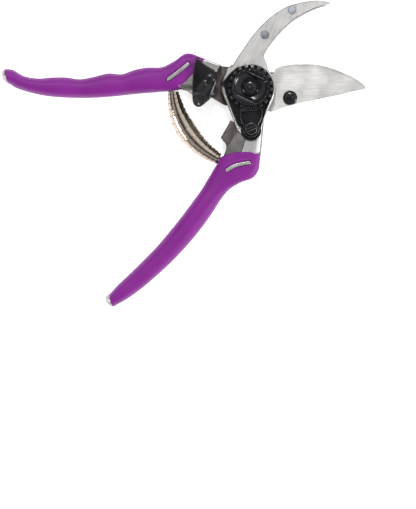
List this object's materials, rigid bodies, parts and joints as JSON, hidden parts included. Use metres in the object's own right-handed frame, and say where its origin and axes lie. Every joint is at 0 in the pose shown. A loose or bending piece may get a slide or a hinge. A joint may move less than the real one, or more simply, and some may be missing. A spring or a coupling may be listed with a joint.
{
  "type": "pruning shears",
  "caption": "Bypass pruning shears with two vinyl-covered handles, a hooked counter blade, a volute spring, an adjusting nut and a thumb latch.",
  "frame": {"origin": "on the pivot axis, at the back face of the pivot bolt's head, which lies on the resting plane", "axes": "+X from the pivot to the tip of the cutting blade at rest (open), +Y to the hooked blade's side, +Z to the adjusting nut's side"},
  "size_m": [0.21, 0.1762, 0.0222],
  "materials": {
    "blade_steel": "ground along the blade, satin",
    "forged_aluminium": "forged and brushed, bright edges",
    "purple_vinyl": "dipped vinyl, soft sheen",
    "rivet_steel": "flush ground",
    "black_steel": "blackened, glossy",
    "black_rubber": "matt",
    "spring_nickel": "nickel plated, slightly warm"
  },
  "bodies": {
    "hooked_handle": {"lower_handle_frame": "forged_aluminium", "lower_grip": "purple_vinyl", "anvil_blade": "blade_steel", "hook_rivet_rear": "rivet_steel", "hook_rivet_front": "rivet_steel", "pivot_bolt": "black_steel", "lock_plate": "black_steel", "adjusting_nut": "black_steel", "toothed_segment": "black_steel", "segment_screw": "black_steel", "volute_spring": "spring_nickel"},
    "blade_handle": {"upper_handle_frame": "forged_aluminium", "upper_grip": "purple_vinyl", "cutting_blade": "blade_steel", "blade_screw": "black_steel", "rubber_bumper": "black_rubber", "latch_screw": "black_steel", "latch_washer": "rivet_steel"},
    "latch": {"thumb_latch": "black_steel"}
  },
  "joints": [
    {"name": "handles_pivot", "type": "hinge", "parent": "hooked_handle", "child": "blade_handle", "pos_m": [0, 0, 0], "axis": [0, 0, 1], "range_deg": [0, 46], "stiffness_Nm_per_rad": 0.6, "springref_deg": -8.59, "deforming": ["volute_spring"]},
    {"name": "latch_turn", "type": "hinge", "parent": "blade_handle", "child": "latch", "pos_m": [-0.0232, 0.0052, 0], "axis": [0, 0, -1], "range_deg": [0, 108]}
  ]
}
